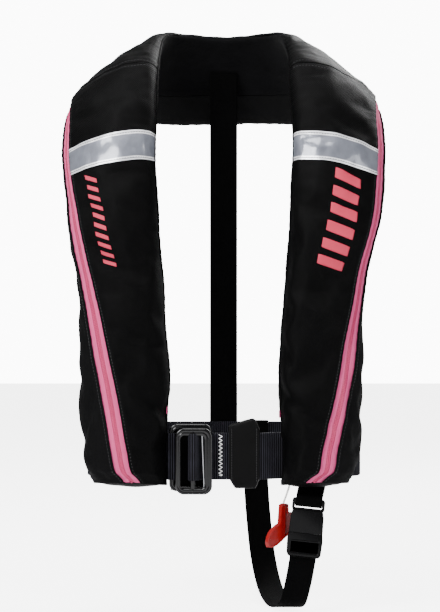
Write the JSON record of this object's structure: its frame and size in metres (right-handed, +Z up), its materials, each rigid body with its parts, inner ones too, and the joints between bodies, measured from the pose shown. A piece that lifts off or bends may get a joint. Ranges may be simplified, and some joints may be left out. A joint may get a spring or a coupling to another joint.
{
  "type": "inflatable life jacket",
  "caption": "Horseshoe inflatable life jacket with a burst zip cover, waist belt with a two-frame buckle, and a crotch strap with a side-release buckle.",
  "frame": {"origin": "point midway between the wearer's shoulders that the yoke rests on", "axes": "+X wearer's left, -Y wearer's front, +Z up"},
  "size_m": [0.3486, 0.288, 0.6449],
  "materials": {
    "cover_cloth": "matte woven nylon",
    "lining_cloth": "brushed knit",
    "bladder_film": "coated nylon",
    "zip_tape": "woven tape",
    "zip_coil": "nylon coil",
    "reflective_tape": "retroreflective silver",
    "webbing": "ribbed webbing",
    "dark_metal": "glossy dark anodised",
    "black_plastic": "satin acetal",
    "grey_plastic": "satin",
    "red_plastic": "glossy moulded",
    "white_cord": "braided",
    "cylinder_paint": "satin paint",
    "plain_steel": "bright",
    "orange_rubber": "satin"
  },
  "bodies": {
    "jacket": {"right_front_cover": "cover_cloth", "right_rear_cover": "cover_cloth", "left_front_cover": "cover_cloth", "left_rear_cover": "cover_cloth", "collar_front_cover": "cover_cloth", "collar_rear_cover": "cover_cloth", "collar_lining": "lining_cloth", "right_hem_gusset": "cover_cloth", "left_hem_gusset": "cover_cloth", "gas_bladder": "bladder_film", "zip_tape_front": "zip_tape", "zip_tape_rear": "zip_tape", "right_zip_coil": "zip_coil", "left_zip_coil": "zip_coil", "right_reflective_tape": "reflective_tape", "left_reflective_tape": "reflective_tape", "waist_belt": "webbing", "right_belt_loop": "webbing", "left_belt_loop": "webbing", "female_waist_frame": "dark_metal", "back_strap": "webbing", "hanging_loop": "webbing", "crotch_buckle_female": "black_plastic", "crotch_strap_upper": "webbing", "crotch_strap_back": "webbing", "inflator_housing": "grey_plastic", "lever_pin": "plain_steel", "pin_spring": "plain_steel", "inflator_flange": "bladder_film", "oral_tube_flange": "bladder_film", "oral_tube": "orange_rubber", "oral_valve_body": "black_plastic", "whistle": "orange_rubber"},
    "male_waist_frame": {"male_waist_frame": "dark_metal"},
    "belt_keeper": {"belt_keeper": "webbing"},
    "crotch_buckle_male_half": {"crotch_buckle_male": "black_plastic", "crotch_strap_front": "webbing"},
    "right_prong": {"crotch_buckle_right_prong": "black_plastic"},
    "left_prong": {"crotch_buckle_left_prong": "black_plastic"},
    "pull_cord": {"pull_cord": "white_cord"},
    "pull_handle": {"pull_handle": "red_plastic"},
    "inflator_lever": {"inflator_lever": "red_plastic"},
    "piercing_pin": {"piercing_pin": "plain_steel"},
    "gas_cylinder": {"gas_cylinder": "cylinder_paint"},
    "inflator_cap": {"inflator_cap": "black_plastic", "bobbin": "orange_rubber"},
    "zip_slider": {"zip_slider": "dark_metal"},
    "zip_pull": {"zip_pull": "dark_metal"},
    "oral_valve_poppet": {"oral_valve_poppet": "grey_plastic"}
  },
  "joints": [
    {"name": "waist_frame_tilt", "type": "hinge", "parent": "jacket", "child": "male_waist_frame", "pos_m": [-0.033, -0.11275, -0.4095], "axis": [0, 0, 1], "range_deg": [-10, 10]},
    {"name": "keeper_slide", "type": "slide", "parent": "jacket", "child": "belt_keeper", "axis": [1, 0, 0], "range_m": [-0.012, 0.003]},
    {"name": "crotch_buckle_release", "type": "slide", "parent": "jacket", "child": "crotch_buckle_male_half", "axis": [-0.1045, 0, -0.9945], "range_m": [0, 0.032], "deforming": ["crotch_buckle_right_prong", "crotch_buckle_left_prong"]},
    {"name": "right_prong_squeeze", "type": "hinge", "parent": "crotch_buckle_male_half", "child": "right_prong", "pos_m": [0.07699, -0.09, -0.48627], "axis": [0, 1, 0], "range_deg": [0, 14], "stiffness_Nm_per_rad": 0.3},
    {"name": "left_prong_squeeze", "type": "hinge", "parent": "crotch_buckle_male_half", "child": "left_prong", "pos_m": [0.09788, -0.09, -0.48847], "axis": [0, -1, 0], "range_deg": [0, 14], "stiffness_Nm_per_rad": 0.3},
    {"name": "cord_pull", "type": "slide", "parent": "jacket", "child": "pull_cord", "axis": [-0.1994, 0.1662, -0.9657], "range_m": [0, 0.0175]},
    {"name": "handle_swing", "type": "hinge", "parent": "pull_cord", "child": "pull_handle", "pos_m": [0.064, -0.086, -0.456], "axis": [1, 0, 0], "range_deg": [0, 25]},
    {"name": "lever_turn", "type": "hinge", "parent": "jacket", "child": "inflator_lever", "pos_m": [0.097, -0.109, -0.392], "axis": [0, -1, 0], "range_deg": [0, 50]},
    {"name": "pin_rise", "type": "slide", "parent": "jacket", "child": "piercing_pin", "axis": [0, 0, 1], "range_m": [0, 0.004], "deforming": ["pin_spring"]},
    {"name": "cylinder_turn", "type": "hinge", "parent": "jacket", "child": "gas_cylinder", "pos_m": [0.103, -0.109, -0.3], "axis": [0, 0, 1], "continuous": true},
    {"name": "cap_turn", "type": "hinge", "parent": "jacket", "child": "inflator_cap", "pos_m": [0.103, -0.109, -0.408], "axis": [0, 0, 1], "continuous": true},
    {"name": "zip_slider_run", "type": "slide", "parent": "jacket", "child": "zip_slider", "axis": [1, 0, 0], "range_m": [-0.004, 0.004]},
    {"name": "zip_pull_swing", "type": "hinge", "parent": "zip_slider", "child": "zip_pull", "pos_m": [0.00002, 0.15179, -0.02437], "axis": [-0.0001, 0.5618, 0.8273], "range_deg": [0, 150]},
    {"name": "oral_valve_press", "type": "slide", "parent": "jacket", "child": "oral_valve_poppet", "axis": [0, 0, -1], "range_m": [0, 0.003], "stiffness_N_per_m": 200}
  ],
  "couplings": [
    {"joint": "lever_turn", "follows": "cord_pull", "rad_per_m": 49.8},
    {"joint": "pin_rise", "follows": "cord_pull", "ratio": 0.228},
    {"joint": "left_prong_squeeze", "follows": "right_prong_squeeze", "ratio": 1}
  ]
}
